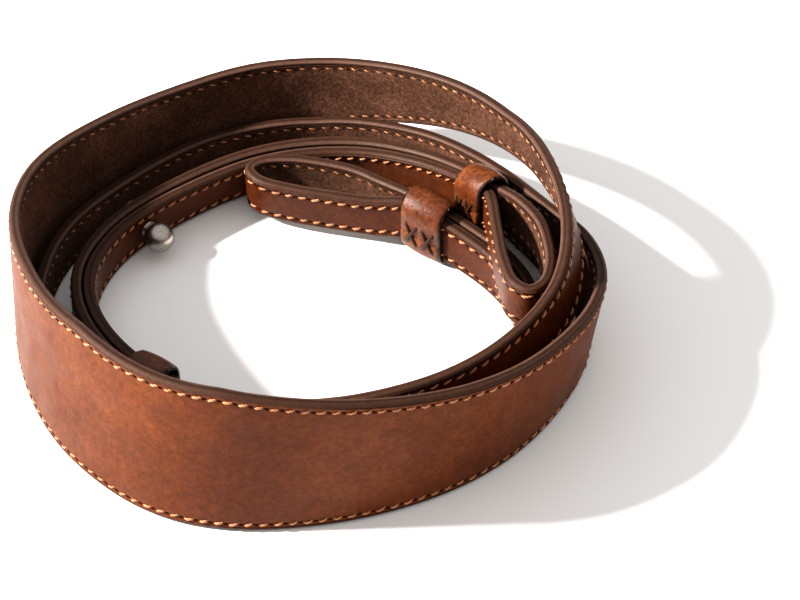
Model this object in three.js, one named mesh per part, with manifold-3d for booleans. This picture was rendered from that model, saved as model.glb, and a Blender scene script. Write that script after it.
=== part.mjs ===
// Camera neck strap: one long strip of leather with a suede lining, widest where it lies on the neck,
// standing on its edge in a loose coil. Both ends fold back into loops, closed by leather keepers
// and held by ball studs. Millimetres, +Z up; the coil stands on z = 0.
import * as THREE from 'three';
import { mergeVertices } from 'three/addons/utils/BufferGeometryUtils.js';
import Module from 'manifold-3d';

const wasm = await Module();
wasm.setup();

// Strip sizes
const WIDE = 35;
const NARROW = 10;
const FACE_THICKNESS = 1.0;
const LINING_THICKNESS = 0.9;
const LAYER_GAP = 0.3;
const STRAP_THICKNESS = FACE_THICKNESS + LAYER_GAP + LINING_THICKNESS;
const EDGE_CHAMFER = 0.35;
const LINING_INSET = 0.3;
const STATION_STEP = 5.5;
const SAMPLES_PER_ROW = 12;

// Folded ends
const FOLD_GAP = 0.3;
const FOLD_PITCH = STRAP_THICKNESS + FOLD_GAP;
const TAIL_LENGTH = 154.5;
const TAIL_TIP_RADIUS = 5;
const TAIL_TIP_WIDTH = 3;
const LOOP_STEP = 4;
const LOOP_LEAN_EASE = 8;

// Keepers
const KEEPER_LENGTH = 9.4;
const KEEPER_WALL = 1.4;
const KEEPER_SIDE_GAP = 0.35;
const KEEPER_LOWER_GAP = 0.3;
const KEEPER_UPPER_GAP = 1.2;
const KEEPER_CROWN = 0.35;
const KEEPER_CORNER = 3.8;
const KEEPER_INNER_CORNER = 1;
const CORNER_STEPS = 5;

// Ball studs
const STUD_PLACE = 88;
const TAIL_KEEPER_PLACE = 147;
const BALL_RADIUS = 3;
const NECK_RADIUS = 1.3;
const NECK_LENGTH = 0.2;
const POST_RADIUS = 1.7;
const BACK_RADIUS = 3.5;
const BACK_THICKNESS = 0.8;
const BACK_BEVEL = 0.3;
const STUD_GAP = 0.3;
const STUD_SIDES = 20;
const BALL_STEPS = 8;
const DRILL_MARGIN = 1;

// Middle of the whole coil's outline in the coordinates of the route below.
const COIL_CENTRE = { x: -17.82, y: -6.13 };

const UP = new THREE.Vector3(0, 0, 1);
const MERGE_TOLERANCE = 1e-4;

// Width of the strip at distances from its middle.
const WIDTHS = [
  { distance: 0, width: WIDE },
  { distance: 16, width: WIDE },
  { distance: 60, width: 27.2 },
  { distance: 192, width: NARROW },
];

// Route of each half from the middle of the strip to its fold, seen from above. x and y are the
// strip's centre, lift the height of its lower edge and lean the tilt of its top towards the coil.
const MIDDLE = { x: -46.6, y: -55.3, lift: 0, lean: 2 };
const HALF_A = [
  { x: -32.2, y: -60.6, lift: 0, lean: 0 },
  { x: -10.0, y: -59.3, lift: 0, lean: -2 },
  { x: 8.9, y: -52.4, lift: 0, lean: -4 },
  { x: 22.5, y: -42.4, lift: 0, lean: -7 },
  { x: 33.4, y: -26.6, lift: 0, lean: -9 },
  { x: 36.8, y: -14.2, lift: 0, lean: -8 },
  { x: 35.2, y: -2.4, lift: 0, lean: -3 },
  { x: 29.4, y: 7.4, lift: 0, lean: 0 },
  { x: 16.4, y: 25.6, lift: 0, lean: 0 },
  { x: 3.0, y: 37.0, lift: 0, lean: 0 },
  { x: -16.0, y: 43.3, lift: 0, lean: 0 },
  { x: -37.0, y: 38.7, lift: 0, lean: 0 },
  { x: -54.6, y: 25.0, lift: 0, lean: 0 },
  { x: -66.2, y: 9.5, lift: 0, lean: 0 },
  { x: -69.3, y: -10.0, lift: 0, lean: 0 },
  { x: -62.0, y: -30.5, lift: 1.7, lean: 0 },
  { x: -51.5, y: -45.3, lift: 2, lean: 0 },
  { x: -35.0, y: -53.0, lift: 0.6, lean: 0 },
  { x: -14.0, y: -51.2, lift: 0, lean: 0 },
  { x: 6.0, y: -39.5, lift: 0, lean: 0 },
  { x: 20.5, y: -27.5, lift: 0, lean: 0 },
  { x: 26.2, y: -12.5, lift: 0, lean: 0 },
  { x: 22.4, y: 0.6, lift: 0, lean: 0 },
  { x: 13.8, y: 9.8, lift: 1.1, lean: 0 },
  { x: 2.6, y: 17.4, lift: 2.8, lean: 0 },
];
const HALF_B = [
  { x: -60.9, y: -41.1, lift: 0, lean: 3.5 },
  { x: -69.4, y: -24.4, lift: 0, lean: 3.5 },
  { x: -73.4, y: -4.0, lift: 0, lean: 1 },
  { x: -70.4, y: 12.8, lift: 0, lean: 0 },
  { x: -59.6, y: 27.8, lift: 0, lean: -1 },
  { x: -42.6, y: 41.4, lift: 0.8, lean: -3 },
  { x: -28.6, y: 46.9, lift: 3.2, lean: -5 },
  { x: -13.0, y: 48.0, lift: 5.7, lean: -5 },
  { x: 2.0, y: 42.6, lift: 10.1, lean: -4 },
  { x: 14.0, y: 33.8, lift: 14.5, lean: 0 },
  { x: 23.8, y: 21.6, lift: 17.8, lean: 5 },
  { x: 29.6, y: 7.5, lift: 19.4, lean: 10 },
  { x: 32.7, y: -8.0, lift: 18.3, lean: 18 },
  { x: 30.4, y: -22.0, lift: 15.6, lean: 18 },
  { x: 21.6, y: -35.0, lift: 14.2, lean: 14 },
  { x: 9.0, y: -44.2, lift: 13.1, lean: 8 },
  { x: -8.0, y: -49.6, lift: 12.4, lean: 0 },
  { x: -24.0, y: -47.2, lift: 8.7, lean: 0 },
  { x: -39.0, y: -39.8, lift: 4, lean: 0 },
  { x: -51.5, y: -29.6, lift: 1.8, lean: 0 },
  { x: -60.3, y: -16.0, lift: 1.4, lean: 0 },
  { x: -62.4, y: -1.0, lift: 0.2, lean: 0 },
  { x: -57.0, y: 12.5, lift: 0.3, lean: 4 },
  { x: -44.6, y: 24.7, lift: 0.6, lean: 10 },
  { x: -27.8, y: 34.7, lift: 0.8, lean: 14 },
  { x: -10.0, y: 36.8, lift: 1.2, lean: 14 },
  { x: 4.0, y: 31.2, lift: 2.6, lean: 8 },
  { x: 14.0, y: 21.6, lift: 5.4, lean: 2 },
  { x: 19.3, y: 13.2, lift: 8.4, lean: 0 },
];

// End loop beyond the fold, from the strap round its belly to the tail: how far forward of the fold,
// how far out from the tail, and how much of the loop's rise is reached.
const LOOP_ROWS = [
  { forward: 5.5, outward: 5.6, rise: 0.7 },
  { forward: 12, outward: 8.2, rise: 0.9 },
  { forward: 18, outward: 8.9, rise: 1 },
  { forward: 25, outward: 8.5, rise: 1 },
  { forward: 30.2, outward: 6.4, rise: 1 },
  { forward: 31.6, outward: 3.6, rise: 1 },
  { forward: 29.2, outward: 1, rise: 1 },
  { forward: 23, outward: -0.1, rise: 1 },
  { forward: 14.5, outward: -0.2, rise: 1 },
  { forward: 6.5, outward: 0, rise: 0.9 },
];
// How far each loop turns towards the coil and leans towards its tail, in degrees, how far it climbs
// over what lies under it, and how much it is stretched forward.
const LOOPS = {
  a: { turn: 19, lean: 6, rise: -0.8, stretch: 1.04 },
  b: { turn: -24, lean: 0, rise: 2.8, stretch: 1 },
};

const leather = new THREE.MeshStandardMaterial({ color: 0x8a4b28, roughness: 0.5, metalness: 0 });
const suede = new THREE.MeshStandardMaterial({ color: 0x46302a, roughness: 0.95, metalness: 0 });
const keeperLeather = new THREE.MeshStandardMaterial({ color: 0x9a5424, roughness: 0.4, metalness: 0 });
const nickel = new THREE.MeshStandardMaterial({ color: 0xb0aba4, roughness: 0.35, metalness: 1 });

// Smooth course through rows that share the columns x, y, lift and lean, with the distance run.
function courseThrough(rows) {
  const places = new THREE.CatmullRomCurve3(rows.map((row) => new THREE.Vector3(row.x, row.y, row.lift)));
  const fine = SAMPLES_PER_ROW * (rows.length - 1);
  const samples = [];
  let run = 0;
  for (let i = 0; i <= fine; i += 1) {
    const share = i / fine;
    const place = places.getPoint(share);
    place.z = Math.max(place.z, 0);
    if (i > 0) run += place.distanceTo(samples[i - 1].place);
    const position = share * (rows.length - 1);
    const row = Math.min(Math.floor(position), rows.length - 2);
    const lean = THREE.MathUtils.lerp(rows[row].lean, rows[row + 1].lean, position - row);
    samples.push({ place, lean, run });
  }
  return samples;
}

// Place and lean at one distance along a course.
function alongCourse(course, run) {
  let next = course.findIndex((sample) => sample.run >= run);
  if (next < 1) next = next === 0 ? 1 : course.length - 1;
  const before = course[next - 1];
  const after = course[next];
  const share = (run - before.run) / (after.run - before.run);
  const place = before.place.clone().lerp(after.place, share);
  const heading = after.place.clone().sub(before.place).setZ(0).normalize();
  return { place, heading, lean: THREE.MathUtils.lerp(before.lean, after.lean, share) };
}

// Section of the strip at one spot: its middle, the way across its width and the way its suede faces.
function stationAt(place, heading, lean, width) {
  const angle = THREE.MathUtils.degToRad(lean);
  const right = heading.clone().cross(UP).normalize();
  const across = UP.clone().multiplyScalar(Math.cos(angle)).addScaledVector(right, Math.sin(angle));
  const suedeSide = right.clone().multiplyScalar(Math.cos(angle)).addScaledVector(UP, -Math.sin(angle));
  const centre = place.clone();
  centre.z += (width / 2) * Math.cos(angle) + (STRAP_THICKNESS / 2) * Math.abs(Math.sin(angle));
  return { centre, across, suedeSide, heading: heading.clone(), width };
}

function widthAt(distanceFromMiddle) {
  const next = WIDTHS.findIndex((row) => row.distance > distanceFromMiddle);
  if (next < 0) return NARROW;
  const before = WIDTHS[next - 1];
  const after = WIDTHS[next];
  const share = (distanceFromMiddle - before.distance) / (after.distance - before.distance);
  return THREE.MathUtils.lerp(before.width, after.width, share);
}

// The strip runs clockwise from fold A to fold B, with its suede to the right.
const mainCourse = courseThrough([...HALF_A].reverse().concat(MIDDLE, HALF_B));
const mainLength = mainCourse[mainCourse.length - 1].run;
const middleRun = mainCourse[SAMPLES_PER_ROW * HALF_A.length].run;

function mainStation(run) {
  const spot = alongCourse(mainCourse, run);
  return stationAt(spot.place, spot.heading, spot.lean, widthAt(Math.abs(run - middleRun)));
}

function mainStations() {
  const steps = Math.round(mainLength / STATION_STEP);
  const stations = [];
  for (let i = 0; i <= steps; i += 1) stations.push(mainStation((mainLength * i) / steps));
  return stations;
}

// Width of a tail near its rounded tip.
function tailWidth(fromTip) {
  if (fromTip >= TAIL_TIP_RADIUS) return NARROW;
  const back = TAIL_TIP_RADIUS - fromTip;
  const half = Math.sqrt(TAIL_TIP_RADIUS ** 2 - back ** 2);
  return Math.max(TAIL_TIP_WIDTH, (NARROW / TAIL_TIP_RADIUS) * half);
}

// A spot on the main strap at a distance from its fold, at end A or end B.
function fromFold(end, distance) {
  return mainStation(end === 'a' ? distance : mainLength - distance);
}

// The tail lies on the suede side of the strap, suede to suede, listed from its fold to its tip.
function tailStations(end) {
  const distances = [];
  const body = TAIL_LENGTH - TAIL_TIP_RADIUS;
  const steps = Math.round(body / STATION_STEP);
  for (let i = 0; i <= steps; i += 1) distances.push((body * i) / steps);
  for (const share of [0.5, 0.8, 1]) distances.push(body + share * TAIL_TIP_RADIUS);
  return distances.map((distance) => {
    const strap = fromFold(end, distance);
    return {
      centre: strap.centre.clone().addScaledVector(strap.suedeSide, FOLD_PITCH),
      across: strap.across,
      suedeSide: strap.suedeSide.clone().negate(),
      width: tailWidth(TAIL_LENGTH - distance),
    };
  });
}

// Stations round an end loop, from the strap's side of the fold to the tail's.
function loopStations(end, tail) {
  const { turn, lean, rise, stretch } = LOOPS[end];
  const strap = fromFold(end, 0);
  const forward = strap.heading.clone().multiplyScalar(end === 'a' ? -1 : 1);
  const outward = strap.suedeSide.clone().negate();
  for (const way of [forward, outward]) way.applyAxisAngle(UP, THREE.MathUtils.degToRad(turn));
  const places = LOOP_ROWS.map((row) => tail[0].centre.clone()
    .addScaledVector(forward, row.forward * stretch)
    .addScaledVector(outward, row.outward)
    .addScaledVector(UP, row.rise * rise));
  const guides = [fromFold(end, LOOP_STEP).centre, strap.centre, ...places, tail[0].centre, tail[1].centre];
  const curve = new THREE.CatmullRomCurve3(guides);
  const first = 1 / (guides.length - 1);
  const last = 1 - first;
  const steps = Math.round(((last - first) * curve.getLength()) / LOOP_STEP);
  const stations = [];
  for (let i = 1; i < steps; i += 1) {
    const share = THREE.MathUtils.lerp(first, last, i / steps);
    const heading = curve.getTangent(share).setZ(0).normalize();
    if (end === 'a') heading.negate();
    const ease = Math.min(1, (LOOP_LEAN_EASE * i) / steps, LOOP_LEAN_EASE * (1 - i / steps));
    const aside = outward.clone().addScaledVector(heading, -outward.dot(heading));
    const slope = Math.tan(THREE.MathUtils.degToRad(lean)) * ease;
    const across = UP.clone().addScaledVector(aside, -slope).normalize();
    stations.push({
      centre: curve.getPoint(share),
      across,
      suedeSide: heading.clone().cross(across).normalize(),
      width: NARROW,
    });
  }
  return stations;
}

const tailA = tailStations('a');
const tailB = tailStations('b');
const loopA = loopStations('a', tailA);
const loopB = loopStations('b', tailB);

// The whole strip in one direction. Tail A and loop A are listed from the fold, so they are turned round.
const strip = [
  ...[...tailA].reverse(),
  ...[...loopA].reverse(),
  ...mainStations(),
  ...loopB,
  ...tailB,
];

// Closed solid through rings of points, one ring for each station, with the same number of points.
// Layers that face each other split their faces along the same diagonal.
function loftRings(rings, otherDiagonal = false) {
  const size = rings[0].length;
  const positions = [];
  for (const ring of rings) for (const point of ring) positions.push(point.x, point.y, point.z);
  const faces = [];
  for (let i = 0; i < rings.length - 1; i += 1) {
    for (let j = 0; j < size; j += 1) {
      const a = i * size + j;
      const b = i * size + ((j + 1) % size);
      if (otherDiagonal) faces.push(a, b, a + size, b, b + size, a + size);
      else faces.push(a, b, b + size, a, b + size, a + size);
    }
  }
  const lastRing = (rings.length - 1) * size;
  for (let j = 1; j < size - 1; j += 1) {
    faces.push(0, j + 1, j);
    faces.push(lastRing, lastRing + j, lastRing + j + 1);
  }
  const geometry = new THREE.BufferGeometry();
  geometry.setAttribute('position', new THREE.Float32BufferAttribute(positions, 3));
  geometry.setIndex(faces);
  return geometry;
}

// Ring of section corners given across the width and towards the suede.
function ringAt(station, corners) {
  return corners.map(([across, depth]) => station.centre.clone()
    .addScaledVector(station.across, across)
    .addScaledVector(station.suedeSide, depth));
}

function faceRing(station) {
  const half = station.width / 2;
  const skin = -STRAP_THICKNESS / 2;
  const back = skin + FACE_THICKNESS;
  return ringAt(station, [
    [-half, skin + EDGE_CHAMFER],
    [-half + EDGE_CHAMFER, skin],
    [half - EDGE_CHAMFER, skin],
    [half, skin + EDGE_CHAMFER],
    [half, back],
    [-half, back],
  ]);
}

function liningRing(station) {
  const half = station.width / 2 - LINING_INSET;
  const skin = STRAP_THICKNESS / 2;
  const back = skin - LINING_THICKNESS;
  return ringAt(station, [
    [-half, back],
    [half, back],
    [half, skin],
    [-half, skin],
  ]);
}

function toManifold(geometry) {
  const bare = geometry.clone();
  for (const name of ['normal', 'uv']) bare.deleteAttribute(name);
  const merged = mergeVertices(bare, MERGE_TOLERANCE);
  return new wasm.Manifold(new wasm.Mesh({
    numProp: 3,
    vertProperties: new Float32Array(merged.attributes.position.array),
    triVerts: new Uint32Array(merged.index.array),
  }));
}

function toGeometry(manifold) {
  const mesh = manifold.getMesh();
  const geometry = new THREE.BufferGeometry();
  geometry.setAttribute('position', new THREE.Float32BufferAttribute(mesh.vertProperties, 3));
  geometry.setIndex(new THREE.Uint32BufferAttribute(mesh.triVerts, 1));
  return geometry;
}

// Turns a shape made along Y to run towards the suede of a strap, from the strap's own centre.
function placeOnStrap(geometry, station) {
  const turn = new THREE.Quaternion().setFromUnitVectors(new THREE.Vector3(0, 1, 0), station.suedeSide);
  const matrix = new THREE.Matrix4().compose(station.centre, turn, new THREE.Vector3(1, 1, 1));
  return geometry.applyMatrix4(matrix);
}

const studStations = { a: fromFold('a', STUD_PLACE), b: fromFold('b', STUD_PLACE) };
const STACK_BACK = -STRAP_THICKNESS / 2;
const STACK_FRONT = FOLD_PITCH + STRAP_THICKNESS / 2;

// Each stud's post passes through the strap and through the tail that is buttoned over the ball.
function withStudHoles(geometry) {
  let solid = toManifold(geometry);
  for (const end of ['a', 'b']) {
    const depth = STACK_FRONT - STACK_BACK + 2 * DRILL_MARGIN;
    const radius = POST_RADIUS + STUD_GAP;
    const drill = new THREE.CylinderGeometry(radius, radius, depth, STUD_SIDES);
    drill.translate(0, (STACK_BACK + STACK_FRONT) / 2, 0);
    solid = solid.subtract(toManifold(placeOnStrap(drill, studStations[end])));
  }
  return toGeometry(solid);
}

function ballStud(end) {
  const seat = STACK_BACK - STUD_GAP;
  const shoulder = STACK_FRONT + STUD_GAP;
  const ballCentre = shoulder + NECK_LENGTH + Math.sqrt(BALL_RADIUS ** 2 - NECK_RADIUS ** 2);
  const profile = [
    new THREE.Vector2(0, seat - BACK_THICKNESS),
    new THREE.Vector2(BACK_RADIUS - BACK_BEVEL, seat - BACK_THICKNESS),
    new THREE.Vector2(BACK_RADIUS, seat - BACK_THICKNESS / 2),
    new THREE.Vector2(BACK_RADIUS, seat),
    new THREE.Vector2(POST_RADIUS, seat),
    new THREE.Vector2(POST_RADIUS, shoulder),
    new THREE.Vector2(NECK_RADIUS, shoulder),
  ];
  const neckAngle = Math.asin(NECK_RADIUS / BALL_RADIUS);
  for (let i = 0; i <= BALL_STEPS; i += 1) {
    const angle = THREE.MathUtils.lerp(Math.PI - neckAngle, 0, i / BALL_STEPS);
    const radius = i === BALL_STEPS ? 0 : BALL_RADIUS * Math.sin(angle);
    profile.push(new THREE.Vector2(radius, ballCentre + BALL_RADIUS * Math.cos(angle)));
  }
  return placeOnStrap(new THREE.LatheGeometry(profile, STUD_SIDES), studStations[end]);
}

// Rounded rectangle as [across, depth] pairs about the middle of the folded pair of layers.
function roundedBox(halfWidth, halfDepth, corner) {
  const points = [];
  for (let quarter = 0; quarter < 4; quarter += 1) {
    const right = quarter === 0 || quarter === 3 ? 1 : -1;
    const top = quarter < 2 ? 1 : -1;
    for (let i = 0; i < CORNER_STEPS; i += 1) {
      const angle = (Math.PI / 2) * (quarter + i / (CORNER_STEPS - 1));
      const across = right * (halfWidth - corner) + corner * Math.cos(angle);
      const depth = top * (halfDepth - corner) + corner * Math.sin(angle);
      points.push([across, depth]);
    }
  }
  return points;
}

// A sleeve round strap and tail, from one distance from the fold to another, slightly crowned.
function keeper(end, start) {
  const holeWidth = (NARROW + KEEPER_LOWER_GAP + KEEPER_UPPER_GAP) / 2;
  const holeDepth = (STACK_FRONT - STACK_BACK) / 2 + KEEPER_SIDE_GAP;
  const shares = [0, 0.12, 0.5, 0.88, 1];
  const rings = [];
  const addRing = (share, grow, corner) => {
    const station = fromFold(end, start + share * KEEPER_LENGTH);
    const middle = {
      ...station,
      centre: station.centre.clone()
        .addScaledVector(station.suedeSide, FOLD_PITCH / 2)
        .addScaledVector(station.across, (KEEPER_UPPER_GAP - KEEPER_LOWER_GAP) / 2),
    };
    rings.push(ringAt(middle, roundedBox(holeWidth + grow, holeDepth + grow, corner)));
  };
  for (const share of shares) {
    const crown = KEEPER_CROWN * (1 - (2 * share - 1) ** 2);
    addRing(share, KEEPER_WALL - KEEPER_CROWN + crown, KEEPER_CORNER);
  }
  for (const share of [...shares].reverse()) addRing(share, 0, KEEPER_INNER_CORNER);
  return closedTube(rings, end === 'b');
}

// Ring-shaped solid whose last ring joins the first one.
function closedTube(rings, turned) {
  const size = rings[0].length;
  const positions = [];
  for (const ring of rings) for (const point of ring) positions.push(point.x, point.y, point.z);
  const faces = [];
  for (let i = 0; i < rings.length; i += 1) {
    const here = i * size;
    const there = ((i + 1) % rings.length) * size;
    for (let j = 0; j < size; j += 1) {
      const next = (j + 1) % size;
      const corners = [here + j, here + next, there + next, there + j];
      if (turned) corners.reverse();
      const [a, b, c, d] = corners;
      faces.push(a, b, c, a, c, d);
    }
  }
  const geometry = new THREE.BufferGeometry();
  geometry.setAttribute('position', new THREE.Float32BufferAttribute(positions, 3));
  geometry.setIndex(faces);
  return geometry;
}

const group = new THREE.Group();

function addPiece(name, geometry, material) {
  const mesh = new THREE.Mesh(geometry, material);
  mesh.name = name;
  group.add(mesh);
}

addPiece('strap_face', withStudHoles(loftRings(strip.map(faceRing))), leather);
addPiece('strap_lining', withStudHoles(loftRings(strip.map(liningRing), true)), suede);
for (const end of ['a', 'b']) {
  addPiece(`loop_keeper_${end}`, keeper(end, 0), keeperLeather);
  addPiece(`tail_keeper_${end}`, keeper(end, TAIL_KEEPER_PLACE - KEEPER_LENGTH / 2), keeperLeather);
  addPiece(`ball_stud_${end}`, ballStud(end), nickel);
}

// The coil stands on z = 0 with the middle of its outline over the origin.
group.position.set(-COIL_CENTRE.x, -COIL_CENTRE.y, 0);

export default group;
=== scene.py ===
import math
import random

import bpy
import numpy as np
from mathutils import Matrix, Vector


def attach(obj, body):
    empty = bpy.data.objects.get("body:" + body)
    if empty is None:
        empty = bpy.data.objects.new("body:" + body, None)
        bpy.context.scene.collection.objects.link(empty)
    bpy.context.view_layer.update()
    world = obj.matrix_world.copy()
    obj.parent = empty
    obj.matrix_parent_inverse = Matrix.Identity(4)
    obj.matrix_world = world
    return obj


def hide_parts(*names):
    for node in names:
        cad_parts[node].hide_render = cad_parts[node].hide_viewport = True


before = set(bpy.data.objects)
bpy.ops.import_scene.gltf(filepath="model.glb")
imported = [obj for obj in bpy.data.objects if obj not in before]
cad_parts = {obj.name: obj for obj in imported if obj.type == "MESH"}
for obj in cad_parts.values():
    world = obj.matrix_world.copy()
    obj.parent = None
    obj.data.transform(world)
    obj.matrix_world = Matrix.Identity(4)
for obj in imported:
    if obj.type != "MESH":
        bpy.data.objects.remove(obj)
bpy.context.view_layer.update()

# Sizes are in millimetres and turn into metres as they enter the scene. Angles are in degrees.
MM = 0.001
UP = np.array((0.0, 0.0, 1.0))

# Strip
WIDE = 35.0
NARROW = 10.0
NARROW_FROM = 18.0
THICKNESS = 2.2
STATION_STEP = 1.4
SAMPLES_PER_ROW = 48
SHORTEST_GAP = 0.01
SMOOTHING = 2.0
COIL_CENTRE = np.array((-17.82, -6.13, 0.0))

# Folded ends
FOLD_GAP = 0.3
FOLD_PITCH = THICKNESS + FOLD_GAP
TAIL_LENGTH = 154.5
TAIL_TIP_RADIUS = 5.0
TAIL_TIP_WIDTH = 1.6
TAIL_TIP_STEPS = 8
LOOP_STEP = 4.0
LOOP_FINE_STEP = 0.7
LOOP_LEAN_EASE = 8.0

# Painted edge, and the recess behind it that holds the lining
EDGE_ROUND = 0.85
EDGE_STEPS = 8
EDGE_POWER = 0.8
EDGE_LINE_DEPTH = 0.1
EDGE_LINE_HALF = 0.16
LIP_WIDTH = 0.75
RECESS_DRAFT = 0.02
RECESS_GAP = 0.05
LINING_DEPTH = 0.75
LINING_SIDE_GAP = 0.03
LINING_LEAST_HALF = 0.2
LINING_ROUND = 0.25
LINING_ROUND_MIDDLE = 0.3 * LINING_ROUND

# Stitch groove; its rows are distance in from the edge, depth
ROW_INSET = 1.75
GROOVE_DEPTH = 0.1
GROOVE_HALF = 0.55
GROOVE_EDGE = 1.7 * GROOVE_HALF
GROOVE_SHOULDER = 0.03
GROOVE_REACH = ROW_INSET + 2 * GROOVE_HALF
GROOVE_MARGIN = 0.3
GROOVE_ROWS = [
    (ROW_INSET - GROOVE_EDGE, 0.0),
    (ROW_INSET - GROOVE_HALF, GROOVE_SHOULDER),
    (ROW_INSET, GROOVE_DEPTH),
    (ROW_INSET + GROOVE_HALF, GROOVE_SHOULDER),
    (ROW_INSET + GROOVE_EDGE, 0.0),
]
FACE_LEVEL = -THICKNESS / 2
MIDDLE_SHARES = (-0.6, -0.2, 0.2, 0.6)

# Stitches, where -1 is the smooth face and 1 the suede
STITCH_PITCH = 2.7
STITCH_SEED = 1000
STITCH_TIP_CLEAR = 6.0
STITCH_FOLD_CLEAR = 2.0
THREAD_HALF_WIDTH = {-1: 0.29, 1: 0.21}
THREAD_HALF_HEIGHT = {-1: 0.25, 1: 0.2}
THREAD_RISE = {-1: 0.13, 1: 0.02}
THREAD_HOLE = {-1: 0.5, 1: 0.6}
THREAD_SINK = 0.34
THREAD_SLANT = 0.27
THREAD_ARCH_START = 0.08
THREAD_ARCH_POWER = 0.6
THREAD_END_SIZE = 0.62
THREAD_RINGS = 7
THREAD_SIDES = 6
HOLE_JITTER = 0.08
SLANT_JITTER = 0.09
RISE_JITTER = 0.06
DRIFT_JITTER = 0.06

# Keepers; the rim is distance in from the end, drop of the surface
KEEPER_LENGTH = 9.4
KEEPER_WALL = 1.4
KEEPER_SIDE_GAP = 0.35
KEEPER_LOWER_GAP = 0.3
KEEPER_UPPER_GAP = 1.2
KEEPER_CROWN = 0.35
KEEPER_CORNER = 3.8
KEEPER_INNER_CORNER = 1.0
KEEPER_CORNER_STEPS = 8
KEEPER_RIM = ((0.0, 0.55), (0.06, 0.33), (0.2, 0.14), (0.45, 0.03), (0.75, 0.0))
KEEPER_INNER_RIM_SHARE = 0.35
KEEPER_BODY_FROM = 0.14
KEEPER_BODY_STEPS = 8
TAIL_KEEPER_PLACE = 147.0
STACK_DEPTH = THICKNESS + FOLD_PITCH

# Seam of a keeper; the groove is offset from the seam, share of its depth
SEAM_OFFSET = -0.9
SEAM_DEPTH = 0.22
SEAM_GROOVE = ((0.4, 0), (0.1, 1), (-0.1, 1), (-0.4, 0))
SEAM_CROSSES = (2.8, 6.6)
SEAM_CROSS_HALF_LENGTH = 1.45
SEAM_CROSS_HALF_HEIGHT = 2.7
SEAM_THREAD_HALF = 0.42
SEAM_THREAD_RISE = {-1: 0.04, 1: 0.22}
SEAM_THREAD_SINK = 0.5
SEAM_THREAD_ARCH_POWER = 0.35
SEAM_THREAD_RINGS = 9
SEAM_THREAD_SIDES = 8

# Ball studs
STUD_PLACE = 88.0
STUD_GAP = 0.3
STUD_SIDES = 48
BALL_RADIUS = 3.0
BALL_STEPS = 24
NECK_RADIUS = 1.3
NECK_LENGTH = 0.2
NECK_FLARE = 0.05
NECK_FLARE_HEIGHT = 0.1
POST_RADIUS = 1.7
POST_CHAMFER = 0.15
BACK_RADIUS = 3.5
BACK_THICKNESS = 0.8
BACK_ROUND = BACK_THICKNESS * 0.5
BACK_ROUND_STEPS = 4
BACK_FLAT_RADIUS = BACK_RADIUS * 0.6
BACK_FLAT_THICKNESS = BACK_THICKNESS * 0.98

# Colours, each ramp from dark to light
WIDE_TONES = [
    (0.32, (0.06, 0.0128, 0.0027)),
    (0.5, (0.084, 0.0196, 0.0042)),
    (0.7, (0.125, 0.034, 0.008)),
]
# Narrow parts: the leather's own darker tone, darkened further as painted shade for the inside of the coil.
NARROW_TONES_WITH_SHADE = [
    (0.32, (0.034, 0.0066, 0.0011)),
    (0.5, (0.053, 0.0112, 0.0019)),
    (0.7, (0.084, 0.021, 0.004)),
]
SUEDE_TONES = [
    (0.36, (0.025, 0.0102, 0.0055)),
    (0.5, (0.066, 0.0285, 0.0162)),
    (0.64, (0.135, 0.063, 0.039)),
]
KEEPER_TONES = [
    (0.34, (0.042, 0.0075, 0.0011)),
    (0.5, (0.084, 0.0185, 0.0027)),
    (0.66, (0.17, 0.05, 0.0085)),
]
THREAD_TONES = [
    (0.25, (0.15, 0.048, 0.017)),
    (0.55, (0.32, 0.13, 0.056)),
    (0.8, (0.56, 0.275, 0.135)),
]
SEAM_THREAD_TONES = [
    (0.25, (0.012, 0.0036, 0.0016)),
    (0.55, (0.03, 0.0098, 0.0042)),
    (0.8, (0.075, 0.028, 0.0125)),
]
METAL_TONES = [(0.3, (0.3, 0.275, 0.245)), (0.7, (0.5, 0.465, 0.42))]
# Dark colours for painted shade in the needle holes.
HOLE_SHADE_COLOUR = (0.026, 0.0078, 0.0032)
SUEDE_HOLE_SHADE_COLOUR = (0.012, 0.005, 0.003)
PAINT_COLOUR = (0.05, 0.0225, 0.0135)
# Lighter colour for a painted highlight on the suede-side half of the painted edge.
PAINT_HIGHLIGHT_COLOUR = (0.115, 0.066, 0.049)
# Dark colour for painted shade in the groove between the two layers of the edge.
PAINT_GROOVE_SHADE_COLOUR = (0.016, 0.007, 0.005)
# Dark edge paint at the keeper's ends, also spread over the whole inside as painted shade.
KEEPER_RIM_PAINT_AND_INSIDE_SHADE_COLOUR = (0.022, 0.0085, 0.005)
SHEEN_TINT = (0.8, 0.5, 0.36)

# Marks on the surface; a pair is where a mark begins and where it is full
NOISE_SPAN = (0.3, 0.7)
HOLE_HALF_LENGTH = 0.52
HOLE_HALF_WIDTH = 0.36
HOLE_SPAN = (1.25, 0.45)
HOLE_BUMP = 3.0
SUEDE_HOLE_SHARE = 0.8
PAINT_SPAN = (0.9, 0.7)
PAINT_WOBBLE = 0.16
# Place, width and strength of the painted highlight on the edge.
PAINT_HIGHLIGHT_PLACE = 0.2
PAINT_HIGHLIGHT_SPAN = (0.22, 0.0)
PAINT_HIGHLIGHT_SHARE = 0.7
# Width and strength of the painted shade in the groove between the layers.
PAINT_GROOVE_SHADE_SPAN = (0.03, 0.008)
PAINT_GROOVE_SHADE_SHARE = 0.6
PAINT_ROUGHER = 0.02
NARROW_SMOOTHER = 0.1
FACE_SPECULAR = 0.1
CELL_SPAN = (0.0, 0.12)
CELL_BUMP = 0.35
FINE_BUMP = 0.8
KEEPER_RIM_SPAN = (0.45, 0.2)

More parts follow.
